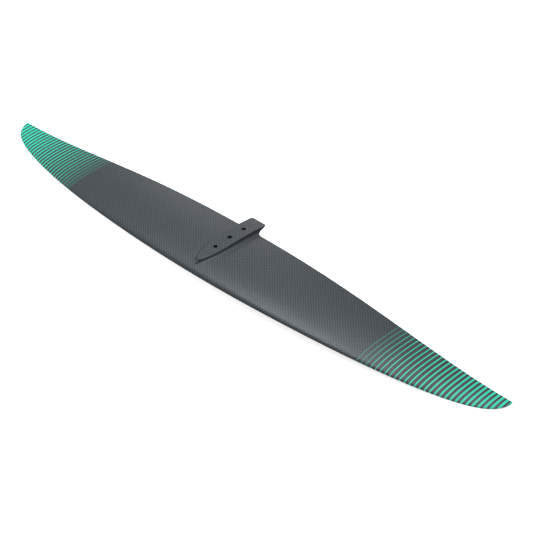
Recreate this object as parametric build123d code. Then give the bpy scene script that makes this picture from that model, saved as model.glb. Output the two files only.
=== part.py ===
from build123d import *
import math
import os

# Hydrofoil front wing, millimetres. X runs along the span (right wing +X), Y runs aft to the trailing edge,
# Z is up. The origin lies on the axis of the middle fuselage screw, on the crown of the saddle's seat.

# Planform
semi_span = 518.0
leading_edge_y = -85.6
trailing_edge_y = 41.9
tip_y = 30.0
sweep_power = 2.15
tip_round = 32.0
tip_round_power = 25
tip_facet_place = 0.9995

# Height, droop and twist of the chord line
trailing_edge_z = -9.6
tip_droop = 27.1
droop_power = 1.4
root_pitch = 3.6
washout = 1.4

# Section
root_thickness_ratio = 0.114
tip_thickness_ratio = 0.088
camber = 0.015
camber_place = 0.45
trailing_edge_thickness = 1.0

# Laminates and what they enclose; a place is a share of the chord or of the half span
skin = 1.2
cap = 1.5
cap_width = 20.0
web = 3.0
web_place = 0.28
nose_strip_place = 0.10
tail_strip_place = 0.80
nose_core_height = 2.0
tail_core_height = 0.7
hollow_end_place = 0.88
tip_block_place = 0.80
cap_end_place = 0.70
centre_half_width = 34.0

# Fuselage saddle
seat_radius = 470.0
saddle_half_width = 15.2
saddle_nose_y = -66.2
saddle_nose_half_width = 2.0
saddle_parallel_y = 2.0
saddle_tail_y = 63.0
saddle_tail_thickness = 2.2
saddle_corner = 4.0
saddle_wall = 1.6
nose_flare = 9.0
trailing_edge_flare = 11.5
tail_flare = 0.4
foot_sink = 0.25
block_front_y = -58.0
block_rear_y = 50.0

# Screw holes, and the countersunk ferrules that line them from the underside
screw_names = ("front", "middle", "rear")
screw_pitch = 30.0
screw_hole = 6.6
hole_chamfer = 0.5
sleeve_diameter = 10.0
cup_diameter = 15.0
cup_depth = 5.2
head_diameter = 12.8
head_sink = 0.5

# Longer than any cut needs
reach = 150.0
over = 1.0
tip_closeness = 2.4


def blend(x):
    return (1 - math.cos(math.pi * x)) / 2


def chord_ends(s):
    """Y of the leading and the trailing edge at a span fraction."""
    sweep = tip_y - leading_edge_y - tip_round
    corner = tip_round * (1 - math.sqrt(1 - s**tip_round_power))
    front = leading_edge_y + sweep * s**sweep_power + corner
    rear = trailing_edge_y - (trailing_edge_y - tip_y) * s * s * (3 - 2 * s)
    return front, rear


def chord_height(s, y):
    """Height of the chord line at a span fraction, above the point y."""
    rear = chord_ends(s)[1]
    pitch = math.radians(root_pitch + washout * s * s)
    drop = tip_droop * blend(s**droop_power)
    return trailing_edge_z - drop - (rear - y) * math.tan(pitch)


def half_thickness(s, t):
    """Half the section's thickness at the chord fraction t."""
    front, rear = chord_ends(s)
    full = (root_thickness_ratio + (tip_thickness_ratio - root_thickness_ratio) * s) * (rear - front)
    shape = 0.2969 * math.sqrt(t) - 0.126 * t - 0.3516 * t**2 + 0.2843 * t**3 - 0.1036 * t**4
    blunt = min(trailing_edge_thickness, full / 2) / 2
    return 5 * full * shape + blunt * t


def camber_height(s, t):
    front, rear = chord_ends(s)
    if t < camber_place:
        share = t * (2 * camber_place - t) / camber_place**2
    else:
        share = (1 - 2 * camber_place + t * (2 * camber_place - t)) / (1 - camber_place) ** 2
    return camber * (rear - front) * share


def surface(s, t, side, depth=0.0):
    """A point of the section, a depth under its upper (side 1) or lower (side -1) surface."""
    front, rear = chord_ends(abs(s))
    y = front + t * (rear - front)
    z = chord_height(abs(s), y) + camber_height(abs(s), t)
    return Vector(s * semi_span, y, z + side * (half_thickness(abs(s), t) - depth))


def root_height(y, side):
    """Height of the wing's surface at mid span."""
    t = (y - leading_edge_y) / (trailing_edge_y - leading_edge_y)
    return surface(0, t, side).Z


def outline(s, depth, start, stop, count=12):
    """Closed outline of the section between two chord fractions, a depth under its surface."""
    turns = [math.pi * i / (count - 1) for i in range(count)]
    places = [start + (stop - start) * (1 - math.cos(a)) / 2 for a in turns]
    top = [surface(s, t, 1, depth) for t in places]
    low = [surface(s, t, -1, depth) for t in places]
    edges = [Edge.make_spline(top), Edge.make_line(top[-1], low[-1]), Edge.make_spline(low[::-1])]
    if (top[0] - low[0]).length > 1e-6:
        edges.append(Edge.make_line(low[0], top[0]))
    return Wire(edges)


def stations(end, count):
    """Span fractions from tip to tip, closer together towards the ends."""
    half = [end * (1 - (1 - i / count) ** tip_closeness) for i in range(1, count + 1)]
    return [-s for s in half[::-1]] + [0.0] + half


def where_thick(s, half_height, thin, thick):
    """Chord fraction at which the section reaches a half height, between a thin place and a thick one."""
    for _ in range(30):
        middle = (thin + thick) / 2
        if half_thickness(abs(s), middle) < half_height:
            thin = middle
        else:
            thick = middle
    return thick


def wing_body():
    return Solid.make_loft([outline(s, 0, 0, 1) for s in stations(tip_facet_place, 16)])


def hollow(depth, front_height, rear_height, end, count):
    """The space under a laminate of this depth, ending where it gets too low to hold a core."""
    outlines = []
    for s in stations(end, count):
        start = where_thick(s, depth + front_height / 2, 0, web_place)
        stop = where_thick(s, depth + rear_height / 2, 1, web_place)
        outlines.append(outline(s, depth, start, stop))
    return Solid.make_loft(outlines)


def above_chord():
    """All that lies above the chord surface, where the two skins part."""
    outlines = []
    for s in stations(1.0, 12):
        x = s * (semi_span + over)
        ends = [Vector(x, y, chord_height(abs(s), y)) for y in (-reach, reach)]
        roof = [Vector(x, y, reach) for y in (reach, -reach)]
        outlines.append(Wire.make_polygon(ends + roof))
    return Solid.make_loft(outlines)


def forward_of(place, shift=0.0):
    """All that lies forward of a chord fraction moved aft by a shift, as an upright block along the span."""
    outlines = []
    for s in stations(hollow_end_place, 10):
        front, rear = chord_ends(abs(s))
        wall = front + place * (rear - front) + shift
        corners = [(-reach, -reach), (wall, -reach), (wall, reach), (-reach, reach)]
        outlines.append(Wire.make_polygon([Vector(s * (semi_span + over), y, z) for y, z in corners]))
    return Solid.make_loft(outlines)


def along_span(x0, x1):
    return Pos((x0 + x1) / 2, 0, 0) * Box(x1 - x0, 2 * reach, 2 * reach)


def under_seat(depth):
    """All that lies under the arched seat, a depth below it."""
    return Pos(0, 0, -seat_radius) * Rot(0, 90, 0) * Cylinder(seat_radius - depth, reach)


def saddle_width(y):
    """Half width of the seat, an ogive from its nose to where its sides run parallel."""
    run = max(0.0, (saddle_parallel_y - y) / (saddle_parallel_y - saddle_nose_y))
    return saddle_nose_half_width + (saddle_half_width - saddle_nose_half_width) * (1 - run**2.4) ** 0.75


def saddle_outline(y, inset):
    """Cross-section of the saddle: flat top, concave flared flanks, and a foot inside the wing or under the tail."""
    chord_z = chord_height(0, min(y, trailing_edge_y))
    tail = max(0.0, (y - trailing_edge_y) / (saddle_tail_y - trailing_edge_y))
    seat = -(y**2) / (2 * seat_radius)
    low = chord_z + inset
    forward = min(1.0, max(0.0, (trailing_edge_y - y) / (trailing_edge_y - saddle_nose_y)))
    flare = trailing_edge_flare + (nose_flare - trailing_edge_flare) * forward
    flare += (tail_flare - trailing_edge_flare) * tail
    foot = low + foot_sink
    if y < trailing_edge_y:
        foot = max(foot, root_height(y, 1) - foot_sink)
    half = saddle_width(max(y, saddle_nose_y)) - inset
    high = seat + over - inset
    if y < saddle_nose_y:
        wing = root_height(y, 1)
        back = 1 - (saddle_nose_y - y) / nose_flare
        high = wing + (high - wing) * (1 - math.sqrt(1 - back**2))
        foot = wing - 2 * foot_sink
        half *= (1 + back) / 2
        flare *= back
    side = half + max(flare - 5 * inset, tail_flare)
    right = [Vector(half, y, high), Vector(side, y, foot), Vector(side, y, low)]
    left = [Vector(-p.X, p.Y, p.Z) for p in right]
    flank = Edge.make_spline([right[0], right[1]], tangents=[(0, 0, -1), (1, 0, 0)])
    edges = [Edge.make_line(left[0], right[0]), flank, Edge.make_line(right[1], right[2])]
    edges.append(Edge.make_line(right[2], left[2]))
    edges.append(Edge.make_line(left[2], left[1]))
    edges.append(Edge.make_spline([left[1], left[0]], tangents=[(1, 0, 0), (0, 0, 1)]))
    return Wire(edges)


def tail_undercut(depth):
    """The rounded hollow under the overhanging tail, grown by a depth."""
    chord_z = chord_height(0, trailing_edge_y)
    tail_z = -(saddle_tail_y**2) / (2 * seat_radius) - saddle_tail_thickness
    curve = Ellipse(tail_z - chord_z + depth, saddle_tail_y - trailing_edge_y + depth)
    return Pos(0, saddle_tail_y, chord_z) * Rot(0, 90, 0) * extrude(curve, reach, both=True)


def saddle_body():
    """The saddle's outer shape above the wing, nose ramp and overhanging tail included."""
    places = [saddle_nose_y + (trailing_edge_y - saddle_nose_y) * blend(i / 9) for i in range(10)]
    tail_run = saddle_tail_y - trailing_edge_y
    places += [trailing_edge_y + tail_run * i / 4 for i in (1, 2, 3, 4)]
    main = Solid.make_loft([saddle_outline(y, 0) for y in places])
    ramp_places = [saddle_nose_y - nose_flare * (1 - math.sin(math.pi / 2 * i / 6)) for i in range(7)]
    ramp = Solid.make_loft([saddle_outline(y, 0) for y in ramp_places], ruled=True)
    tail_half = saddle_half_width + tail_flare
    plan = Pos(0, saddle_tail_y - reach / 2) * RectangleRounded(2 * tail_half, reach, saddle_corner)
    tail_y = saddle_tail_y - saddle_corner
    waste = Pos(0, tail_y + reach / 2, 0) * Box(reach, reach, reach) - extrude(plan, reach, both=True)
    return ((main + ramp) & under_seat(0)) - waste - tail_undercut(0)


def saddle_hollow():
    """The space inside the saddle's shell, filled by its solid block."""
    count = 9
    places = [block_front_y + (block_rear_y - block_front_y) * i / count for i in range(count + 1)]
    filled = Solid.make_loft([saddle_outline(y, saddle_wall) for y in places])
    return (filled & under_seat(saddle_wall)) - tail_undercut(saddle_wall)


def upright(y, diameter, z0, z1):
    return Pos(0, y, (z0 + z1) / 2) * Cylinder(diameter / 2, z1 - z0)


def screw_bore(y):
    """The screw hole through the saddle, its mouth on the seat chamfered."""
    mouth = screw_hole / 2 + hole_chamfer
    taper = Cone(mouth - 2 * hole_chamfer, mouth + 2 * hole_chamfer, 4 * hole_chamfer)
    return upright(y, screw_hole, -reach, reach) + Pos(0, y, -(y**2) / (2 * seat_radius)) * taper


def ferrule_space(y):
    """The stepped hole that one ferrule fills, from under the wing up to the saddle's shell."""
    bottom = root_height(y, -1)
    cup = upright(y, cup_diameter, bottom - cup_depth, bottom + cup_depth)
    sleeve = upright(y, sleeve_diameter, bottom, cup_depth)
    return (cup + sleeve) & under_seat(saddle_wall)


def ferrule(y, body, upper):
    """A flanged metal sleeve, countersunk from below, its mouth flush with the wing's underside."""
    bottom = root_height(y, -1)
    space = ferrule_space(y)
    sink = (head_diameter - screw_hole) / 2
    cone_z = bottom + head_sink + sink / 2
    cone = Pos(0, y, cone_z) * Cone(head_diameter / 2, screw_hole / 2, sink)
    mouth = upright(y, head_diameter, bottom - cup_depth, bottom + head_sink)
    bore = upright(y, screw_hole, -reach, reach)
    return (space & body) + (space & upper) - cone - mouth - bore


def build():
    body = wing_body()
    upper = above_chord()
    inside = hollow(skin, nose_core_height, tail_core_height, hollow_end_place, 10)
    between_caps = hollow(skin + cap, tail_core_height, tail_core_height, cap_end_place + 0.01, 8)
    screws = dict(zip(screw_names, (-screw_pitch, 0.0, screw_pitch)))
    spaces = [ferrule_space(y) for y in screws.values()]
    pieces = {}

    laminate = body - inside
    pieces["upper_skin"] = (laminate & upper) - spaces
    pieces["lower_skin"] = (laminate - upper) - spaces

    cap_reach = cap_end_place * semi_span
    cap_zone = along_span(-cap_reach, cap_reach) & forward_of(web_place, cap_width / 2)
    cap_zone -= forward_of(web_place, -cap_width / 2)
    caps = (inside & cap_zone) - between_caps - spaces
    pieces["lower_spar_cap"], pieces["upper_spar_cap"] = caps.solids().sort_by(Axis.Z)

    filling = inside - caps
    pieces["centre_block"] = (filling & along_span(-centre_half_width, centre_half_width)) - spaces
    walls = {"leading_edge_strip": forward_of(nose_strip_place),
             "front_core": forward_of(web_place, -web / 2),
             "shear_web": forward_of(web_place, web / 2),
             "rear_core": forward_of(tail_strip_place)}
    for side, sign in (("left", -1), ("right", 1)):
        inner, outer = sorted((sign * centre_half_width, sign * tip_block_place * semi_span))
        rest = filling & along_span(inner, outer)
        for name, wall in walls.items():
            pieces[f"{side}_{name}"] = rest & wall
            rest = rest - wall
        pieces[f"{side}_trailing_edge_strip"] = rest
        inner, outer = sorted((sign * tip_block_place * semi_span, sign * (semi_span + over)))
        pieces[f"{side}_tip_block"] = filling & along_span(inner, outer)

    saddle = saddle_body() - body
    block = saddle_hollow() - body
    bores = [screw_bore(y) for y in screws.values()]
    pieces["saddle_shell"] = saddle - block - spaces - bores
    pieces["saddle_block"] = block - spaces
    for name, y in screws.items():
        pieces[f"{name}_ferrule"] = ferrule(y, body, upper)
    return pieces


os.makedirs("parts", exist_ok=True)
for name, piece in build().items():
    piece.label = name
    export_step(piece, f"parts/{name}.step")
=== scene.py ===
import bpy
import math
from mathutils import Matrix, Vector


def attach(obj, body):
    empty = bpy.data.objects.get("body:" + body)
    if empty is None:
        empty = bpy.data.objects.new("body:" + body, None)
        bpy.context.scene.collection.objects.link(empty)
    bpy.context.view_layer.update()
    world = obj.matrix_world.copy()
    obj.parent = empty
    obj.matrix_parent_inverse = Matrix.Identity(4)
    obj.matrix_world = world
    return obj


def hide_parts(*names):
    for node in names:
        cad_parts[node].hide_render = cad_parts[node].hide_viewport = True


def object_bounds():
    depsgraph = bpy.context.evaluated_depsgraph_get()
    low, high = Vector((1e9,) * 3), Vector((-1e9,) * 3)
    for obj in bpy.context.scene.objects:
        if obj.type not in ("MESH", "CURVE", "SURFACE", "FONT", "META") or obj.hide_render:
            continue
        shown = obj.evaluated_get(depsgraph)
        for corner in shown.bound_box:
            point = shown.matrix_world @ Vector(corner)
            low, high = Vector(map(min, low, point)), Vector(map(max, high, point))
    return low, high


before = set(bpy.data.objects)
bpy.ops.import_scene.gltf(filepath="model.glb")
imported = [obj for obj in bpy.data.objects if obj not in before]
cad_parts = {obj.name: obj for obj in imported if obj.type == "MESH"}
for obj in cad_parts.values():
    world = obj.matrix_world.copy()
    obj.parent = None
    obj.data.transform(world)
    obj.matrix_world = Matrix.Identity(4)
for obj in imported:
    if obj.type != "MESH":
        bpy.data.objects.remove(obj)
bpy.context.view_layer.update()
print("frame loaded:", len(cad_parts), "nodes")

mm = 0.001


def newMaterial(name):
    mat = bpy.data.materials.new(name)
    mat.use_nodes = True
    tree = mat.node_tree
    tree.nodes.clear()
    out = tree.nodes.new("ShaderNodeOutputMaterial")
    shader = tree.nodes.new("ShaderNodeBsdfPrincipled")
    tree.links.new(shader.outputs[0], out.inputs[0])
    return mat, tree, shader


def calc(tree, op, a, b=None):
    node = tree.nodes.new("ShaderNodeMath")
    node.operation = op
    for socket, value in zip(node.inputs, (a, b)):
        if value is None:
            continue
        if isinstance(value, (int, float)):
            socket.default_value = value
        else:
            tree.links.new(value, socket)
    return node.outputs[0]


def ramp(tree, value, low, high, toLow=0.0, toHigh=1.0):
    node = tree.nodes.new("ShaderNodeMapRange")
    node.interpolation_type = "SMOOTHSTEP"
    tree.links.new(value, node.inputs["Value"])
    node.inputs["From Min"].default_value = low
    node.inputs["From Max"].default_value = high
    node.inputs["To Min"].default_value = toLow
    node.inputs["To Max"].default_value = toHigh
    return node.outputs["Result"]


def mixColour(tree, share, a, b):
    node = tree.nodes.new("ShaderNodeMix")
    node.data_type = "RGBA"
    tree.links.new(share, node.inputs[0])
    for socket, value in ((node.inputs[6], a), (node.inputs[7], b)):
        if isinstance(value, tuple):
            socket.default_value = (*value, 1.0)
        else:
            tree.links.new(value, socket)
    return node.outputs[2]


def objectCoords(tree):
    return tree.nodes.new("ShaderNodeTexCoord").outputs["Object"]


def splitXyz(tree, coords):
    split = tree.nodes.new("ShaderNodeSeparateXYZ")
    tree.links.new(coords, split.inputs[0])
    return split.outputs


def noise(tree, coords, scale, detail, stretch=(1, 1, 1)):
    mapping = tree.nodes.new("ShaderNodeMapping")
    mapping.inputs["Scale"].default_value = stretch
    tree.links.new(coords, mapping.inputs[0])
    node = tree.nodes.new("ShaderNodeTexNoise")
    node.inputs["Scale"].default_value = scale
    node.inputs["Detail"].default_value = detail
    tree.links.new(mapping.outputs[0], node.inputs["Vector"])
    return node.outputs["Fac"]


def bump(tree, height, strength, distance):
    node = tree.nodes.new("ShaderNodeBump")
    node.inputs["Strength"].default_value = strength
    node.inputs["Distance"].default_value = distance
    tree.links.new(height, node.inputs["Height"])
    return node.outputs[0]


# plain carbon cloth under a satin clear coat; the warp tows are painted lighter and the weft darker, a
# painted sheen and shade on one fibre
weave = {
    "tow": 2.6 * mm,
    "sheenedWarp": (0.050, 0.061, 0.071),
    "shadedWeft": (0.009, 0.011, 0.013),
    "crossing": 0.35,  # how softly one tow hands over to the next
    "fibreScale": 900,
    "fibreStretch": (1, 0.12, 1),
    "fibreShade": (0.88, 0.24),  # the darkest shade, and what light fibres add to it
    "driftScale": 14,
    "driftShade": (0.92, 0.16),
    "crownPower": 0.5,
    "driftHeight": 0.6,
    "gapDepth": 0.10 * mm,
    "gapStrength": 0.35,
    "roughness": 0.36,
    "warpRoughness": 0.12,
    "driftRoughness": 0.12,
    "scuffScale": 160,
    "scuffStretch": (1, 0.2, 1),
    "scuffRange": (0.62, 0.72),
    "scuffRoughness": 0.10,
    "specular": 0.42,
    "coat": 0.20,
    "coatRoughness": 0.30,
}


def shade(tree, value, darkest, gain):
    return calc(tree, "ADD", calc(tree, "MULTIPLY", value, gain), darkest)


def weaveNodes(tree, coords, spanwise, chordwise):
    turn = math.pi / weave["tow"]
    across = calc(tree, "SINE", calc(tree, "MULTIPLY", spanwise, turn))
    along = calc(tree, "SINE", calc(tree, "MULTIPLY", chordwise, turn))
    checker = calc(tree, "MULTIPLY", across, along)
    share = ramp(tree, checker, -weave["crossing"], weave["crossing"])
    fibres = noise(tree, coords, weave["fibreScale"], 2.0, weave["fibreStretch"])
    drift = noise(tree, coords, weave["driftScale"], 4.0)
    fibreShade = shade(tree, fibres, *weave["fibreShade"])
    driftShade = shade(tree, drift, *weave["driftShade"])
    shaded = tree.nodes.new("ShaderNodeVectorMath")
    shaded.operation = "SCALE"
    # the two tones of the tows are painted sheen and shade, laid out by the real weave
    tree.links.new(mixColour(tree, share, weave["shadedWeft"], weave["sheenedWarp"]), shaded.inputs[0])
    tree.links.new(calc(tree, "MULTIPLY", fibreShade, driftShade), shaded.inputs["Scale"])
    crown = calc(tree, "POWER", calc(tree, "ABSOLUTE", checker), weave["crownPower"])
    return shaded.outputs[0], share, crown, drift


def finishCarbon(tree, shader, coords, share, crown, drift):
    scuffs = noise(tree, coords, weave["scuffScale"], 5.0, weave["scuffStretch"])
    warpPart = calc(tree, "MULTIPLY", share, weave["warpRoughness"])
    driftPart = calc(tree, "MULTIPLY", calc(tree, "SUBTRACT", drift, 0.5), weave["driftRoughness"])
    scuffPart = ramp(tree, scuffs, *weave["scuffRange"], 0.0, weave["scuffRoughness"])
    rough = calc(tree, "ADD", weave["roughness"], warpPart)
    rough = calc(tree, "ADD", rough, driftPart)
    rough = calc(tree, "ADD", rough, scuffPart)
    tree.links.new(rough, shader.inputs["Roughness"])
    height = calc(tree, "ADD", crown, calc(tree, "MULTIPLY", drift, weave["driftHeight"]))
    tree.links.new(bump(tree, height, weave["gapStrength"], weave["gapDepth"]), shader.inputs["Normal"])
    shader.inputs["Coat Weight"].default_value = weave["coat"]
    shader.inputs["Coat Roughness"].default_value = weave["coatRoughness"]
    shader.inputs["Specular IOR Level"].default_value = weave["specular"]


def carbonMaterial(name, draped=False):
    mat, tree, shader = newMaterial(name)
    coords = objectCoords(tree)
    x, y, z = splitXyz(tree, coords)
    if draped:
        # the cloth runs down the saddle's flanks, so its width is counted down them as well as out
        x = calc(tree, "SUBTRACT", calc(tree, "ABSOLUTE", x), z)
    colour, share, crown, drift = weaveNodes(tree, coords, x, y)
    tree.links.new(colour, shader.inputs["Base Color"])
    finishCarbon(tree, shader, coords, share, crown, drift)
    return mat


# stripes across both tips, each wider than the last; distances in stripes are counted from the first
stripes = {
    "first": 309.1 * mm,
    "pitch": 7.43 * mm,
    "width": 0.75 * mm,
    "growth": 0.120 * mm,
    "count": 29,
    "softEdge": 0.12 * mm,
    "softStart": 0.10,
    "softTip": 0.05,
    "teal": (0.010, 0.585, 0.385),
    "faintest": 0.45,  # the paint on the innermost stripe
    "fadeFrom": -1.0,
    "fullAt": 5.0,
    "ground": (0.034, 0.026, 0.032),
    "groundFullAt": 8.0,
    "groundShare": 0.75,
}


def stripeBand(tree, place):
    number = calc(tree, "ROUND", place)
    offset = calc(tree, "ABSOLUTE", calc(tree, "SUBTRACT", place, number))
    offset = calc(tree, "MULTIPLY", offset, stripes["pitch"])
    half = calc(tree, "MULTIPLY", number, stripes["growth"] / 2)
    half = calc(tree, "ADD", half, stripes["width"] / 2)
    edge, start, tip = stripes["softEdge"], stripes["softStart"], stripes["softTip"]
    band = ramp(tree, calc(tree, "SUBTRACT", half, offset), -edge, edge)
    started = ramp(tree, place, -0.5 - start, -0.5 + start)
    tipFrom = stripes["count"] - 0.5
    painted = ramp(tree, place, tipFrom - tip, tipFrom + tip)
    return calc(tree, "MAXIMUM", calc(tree, "MULTIPLY", band, started), painted)


def stripedCarbonMaterial(name):
    mat, tree, shader = newMaterial(name)
    coords = objectCoords(tree)
    x, y = splitXyz(tree, coords)[:2]
    colour, share, crown, drift = weaveNodes(tree, coords, x, y)
    outboard = calc(tree, "SUBTRACT", calc(tree, "ABSOLUTE", x), stripes["first"])
    place = calc(tree, "DIVIDE", outboard, stripes["pitch"])
    fadeFrom = stripes["fadeFrom"]
    ground = ramp(tree, place, fadeFrom, stripes["groundFullAt"], 0.0, stripes["groundShare"])
    strength = ramp(tree, place, fadeFrom, stripes["fullAt"], stripes["faintest"], 1.0)
    paint = calc(tree, "MULTIPLY", stripeBand(tree, place), strength)
    colour = mixColour(tree, ground, colour, stripes["ground"])
    colour = mixColour(tree, paint, colour, stripes["teal"])
    tree.links.new(colour, shader.inputs["Base Color"])
    finishCarbon(tree, shader, coords, share, crown, drift)
    return mat


# turned steel sleeves in the screw holes, painted dark as the shade inside the holes
ferrules = {
    # both tones sit far below bare steel: painted shade, with the real turning rings between them
    "dark": (0.10, 0.10, 0.105),
    "light": (0.20, 0.20, 0.20),
    "ringScale": 700,
    "ringStretch": (1, 1, 6),
    "ringStrength": 0.2,
    "ringDepth": 0.02 * mm,
    "roughness": (0.22, 0.38),
}


def steelMaterial(name):
    mat, tree, shader = newMaterial(name)
    rings = noise(tree, objectCoords(tree), ferrules["ringScale"], 2.0, ferrules["ringStretch"])
    colour = mixColour(tree, rings, ferrules["dark"], ferrules["light"])
    tree.links.new(colour, shader.inputs["Base Color"])
    shader.inputs["Metallic"].default_value = 1.0
    tree.links.new(ramp(tree, rings, 0.3, 0.7, *ferrules["roughness"]), shader.inputs["Roughness"])
    grooves = bump(tree, rings, ferrules["ringStrength"], ferrules["ringDepth"])
    tree.links.new(grooves, shader.inputs["Normal"])
    return mat


# the pieces held inside the skins
inside = {
    "tones": {
        "glass": ((0.20, 0.24, 0.12), (0.34, 0.38, 0.22)),
        "foam": ((0.60, 0.50, 0.34), (0.78, 0.69, 0.50)),
        "resin": ((0.022, 0.022, 0.024), (0.06, 0.06, 0.062)),
        "carbon": ((0.015, 0.015, 0.016), (0.07, 0.07, 0.075)),
    },
    # finish, tone, grain scale and stretch, roughness, grain depth
    "pieces": {
        "block": ("glassLaminate", "glass", 260, (1, 1, 12), 0.5, 0.05 * mm),
        "core": ("structuralFoam", "foam", 900, (1, 1, 1), 0.85, 0.15 * mm),
        "strip": ("filledEpoxy", "resin", 420, (1, 1, 1), 0.55, 0.05 * mm),
        "tip_block": ("tipLaminate", "resin", 420, (1, 1, 8), 0.55, 0.05 * mm),
        "cap": ("straightCarbon", "carbon", 500, (0.02, 1, 1), 0.4, 0.04 * mm),
        "web": ("biasCarbon", "carbon", 500, (0.3, 1, 0.3), 0.4, 0.04 * mm),
    },
    "grainStrength": 0.4,
    "roughnessEitherSide": 0.08,
}


def grainMaterial(name, tone, scale, stretch, rough, depth):
    mat, tree, shader = newMaterial(name)
    grain = noise(tree, objectCoords(tree), scale, 4.0, stretch)
    tree.links.new(mixColour(tree, grain, *inside["tones"][tone]), shader.inputs["Base Color"])
    margin = inside["roughnessEitherSide"]
    tree.links.new(ramp(tree, grain, 0.2, 0.8, rough - margin, rough + margin), shader.inputs["Roughness"])
    tree.links.new(bump(tree, grain, inside["grainStrength"], depth), shader.inputs["Normal"])
    return mat


finishes = {
    "upper_skin": stripedCarbonMaterial("stripedCarbon"),
    "lower_skin": carbonMaterial("wovenCarbon"),
    "saddle_shell": carbonMaterial("drapedCarbon", draped=True),
    "ferrule": steelMaterial("shadeDarkenedSteel"),
}
for part, look in inside["pieces"].items():
    finishes[part] = grainMaterial(*look)

for name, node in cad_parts.items():
    part = max((key for key in finishes if key in name), key=len)  # tip_block before block
    node.data.materials.clear()
    node.data.materials.append(finishes[part])
print("finishes assigned")


# the outer shells, with faces smoothed and real edges kept sharp
shell = {
    "mergeDistance": 0.002 * mm,
    "sharpAngle": 24.0,
    "finish": {
        "upper_skin": "carbon_twill",
        "lower_skin": "carbon_twill",
        "saddle_shell": "carbon_saddle",
    },
}


def shellTree():
    tree = bpy.data.node_groups.new("smoothShell", "GeometryNodeTree")
    newSocket = tree.interface.new_socket
    newSocket("Shell", in_out="INPUT", socket_type="NodeSocketGeometry")
    newSocket("Merge Distance", in_out="INPUT", socket_type="NodeSocketFloat")
    newSocket("Sharp Angle", in_out="INPUT", socket_type="NodeSocketFloat")
    newSocket("Finish", in_out="INPUT", socket_type="NodeSocketMaterial")
    newSocket("Shell", in_out="OUTPUT", socket_type="NodeSocketGeometry")
    given = tree.nodes.new("NodeGroupInput").outputs
    merge = tree.nodes.new("GeometryNodeMergeByDistance")
    smooth = tree.nodes.new("GeometryNodeSetShadeSmooth")
    crease = tree.nodes.new("GeometryNodeSetShadeSmooth")
    crease.domain = "EDGE"
    crease.inputs["Shade Smooth"].default_value = False
    angle = tree.nodes.new("GeometryNodeInputMeshEdgeAngle")
    sharp = tree.nodes.new("FunctionNodeCompare")
    sharp.operation = "GREATER_THAN"
    realize = tree.nodes.new("GeometryNodeRealizeInstances")
    coat = tree.nodes.new("GeometryNodeSetMaterial")
    done = tree.nodes.new("NodeGroupOutput")
    link = tree.links.new
    link(given["Shell"], merge.inputs["Geometry"])
    link(given["Merge Distance"], merge.inputs["Distance"])
    link(merge.outputs[0], smooth.inputs["Geometry"])
    link(smooth.outputs[0], crease.inputs["Geometry"])
    link(angle.outputs[0], sharp.inputs["A"])
    link(given["Sharp Angle"], sharp.inputs["B"])
    link(sharp.outputs[0], crease.inputs["Selection"])
    link(crease.outputs[0], realize.inputs["Geometry"])
    link(realize.outputs[0], coat.inputs["Geometry"])
    link(given["Finish"], coat.inputs["Material"])
    link(coat.outputs[0], done.inputs[0])
    return tree


def smoothShell(tree, name):
    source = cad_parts[name]
    raw = bpy.data.objects.new(name + "_raw", source.data.copy())
    bpy.context.scene.collection.objects.link(raw)
    modifier = raw.modifiers.new("smoothShell", "NODES")
    modifier.node_group = tree
    values = {
        "Merge Distance": shell["mergeDistance"],
        "Sharp Angle": math.radians(shell["sharpAngle"]),
        "Finish": source.data.materials[0],
    }
    for item in tree.interface.items_tree:
        if item.in_out == "INPUT" and item.name in values:
            modifier[item.identifier] = values[item.name]
    evaluated = raw.evaluated_get(bpy.context.evaluated_depsgraph_get())
    mesh = bpy.data.meshes.new_from_object(evaluated)
    bpy.data.objects.remove(raw)
    obj = bpy.data.objects.new(name + "_surface", mesh)
    bpy.context.scene.collection.objects.link(obj)
    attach(obj, "root")
    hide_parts(name)
    print(name, "smoothed:", len(mesh.polygons), "faces")


surfaceTree = shellTree()
for name in shell["finish"]:
    smoothShell(surfaceTree, name)
print("shells smoothed")


studio = {
    "floorSize": 14.0,
    "floorGap": 0.2 * mm,
    "floorDark": (0.90, 0.90, 0.90),
    "floorLight": (0.95, 0.95, 0.95),
    "floorPatches": 6,
    "floorRoughness": 0.9,
    "floorGlow": 0.75,
    "skyColour": (0.97, 0.985, 1.0),
    "skyLow": 0.24,
    "skyHigh": 1.05,
    "skyRiseFrom": 0.35,  # 0 is the horizon and 1 is overhead
    "cool": (0.86, 0.95, 1.0),
    "neutral": (1.0, 0.985, 0.96),
    # place, size, power and tint of each lamp
    "lamps": {
        "key": ((-0.66, -0.02, 2.20), 1.2, 22.0, "cool"),
        "streak": ((-0.36, 0.97, 2.06), 0.4, 3.5, "cool"),
        "rim": ((-1.55, 1.70, 0.85), 0.9, 2.8, "neutral"),
        "fill": ((-1.98, -0.60, 1.00), 1.0, 36.0, "neutral"),
    },
}


def buildFloor():
    half = studio["floorSize"] / 2
    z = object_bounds()[0][2] - studio["floorGap"]
    corners = [(-half, -half, z), (half, -half, z), (half, half, z), (-half, half, z)]
    mesh = bpy.data.meshes.new("floor")
    mesh.from_pydata(corners, [], [(0, 1, 2, 3)])
    floor = bpy.data.objects.new("floor", mesh)
    bpy.context.scene.collection.objects.link(floor)
    mat, tree, shader = newMaterial("paleFloor")
    patches = noise(tree, objectCoords(tree), studio["floorPatches"], 3.0)
    colour = mixColour(tree, patches, studio["floorDark"], studio["floorLight"])
    tree.links.new(colour, shader.inputs["Base Color"])
    shader.inputs["Roughness"].default_value = studio["floorRoughness"]
    shader.inputs["Emission Color"].default_value = (1, 1, 1, 1)
    shader.inputs["Emission Strength"].default_value = studio["floorGlow"]
    mesh.materials.append(mat)
    # the floor throws no light back, so the dark flanks stay dark
    floor.visible_diffuse = False
    floor.visible_glossy = False


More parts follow.
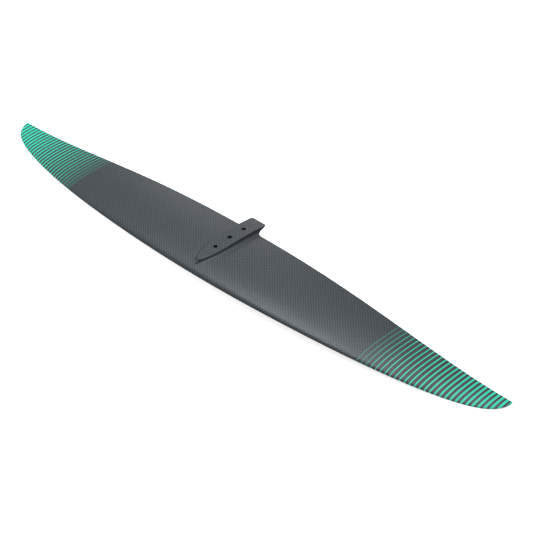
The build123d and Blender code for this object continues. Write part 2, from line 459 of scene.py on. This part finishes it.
def areaLight(name, place, size, power, tint):
    light = bpy.data.lights.new(name, "AREA")
    light.shape = "DISK"
    light.size = size
    light.energy = power
    light.color = tint
    obj = bpy.data.objects.new(name, light)
    obj.location = place
    obj.rotation_euler = (-Vector(place)).to_track_quat("-Z", "Y").to_euler()
    bpy.context.scene.collection.objects.link(obj)


def buildLight():
    world = bpy.data.worlds.new("studio")
    world.use_nodes = True
    tree = world.node_tree
    height = splitXyz(tree, tree.nodes.new("ShaderNodeTexCoord").outputs["Generated"])[2]
    rise = ramp(tree, height, studio["skyRiseFrom"], 1.0, studio["skyLow"], studio["skyHigh"])
    sky = tree.nodes["Background"].inputs
    sky["Color"].default_value = (*studio["skyColour"], 1)
    tree.links.new(rise, sky["Strength"])
    bpy.context.scene.world = world
    for name, (place, size, power, tint) in studio["lamps"].items():
        areaLight(name, place, size, power, studio[tint])
    # the fill only softens shadows, so it leaves no glint along the leading edge
    bpy.data.objects["fill"].visible_glossy = False
    bpy.context.scene.view_settings.view_transform = "Standard"


camera = {
    "azimuth": 44.44,
    "elevation": 36.23,
    "seatTilt": 1.909,
    "distance": 2691.8 * mm,
    "right": 55.34 * mm,
    "down": 44.41 * mm,
    "lens": 120.9,
    "sensorWidth": 36,
    "farClip": 50,
}


def buildCamera():
    azimuth = math.radians(camera["azimuth"])
    elevation = math.radians(camera["elevation"])
    level = math.cos(elevation)
    right = Vector((math.cos(azimuth), math.sin(azimuth), 0))
    back = Vector((math.sin(azimuth) * level, -math.cos(azimuth) * level, math.sin(elevation)))
    up = back.cross(right)
    place = camera["right"] * right - camera["down"] * up + camera["distance"] * back
    turn = Matrix((right, up, back)).transposed().to_4x4()
    tilt = Matrix.Rotation(-math.radians(camera["seatTilt"]), 4, "X")
    data = bpy.data.cameras.new("camera")
    data.sensor_width = camera["sensorWidth"]
    data.lens = camera["lens"]
    data.clip_end = camera["farClip"]
    obj = bpy.data.objects.new("camera", data)
    obj.matrix_world = tilt @ Matrix.Translation(place) @ turn
    bpy.context.scene.collection.objects.link(obj)
    bpy.context.scene.camera = obj


buildFloor()
buildLight()
buildCamera()
print("studio ready")
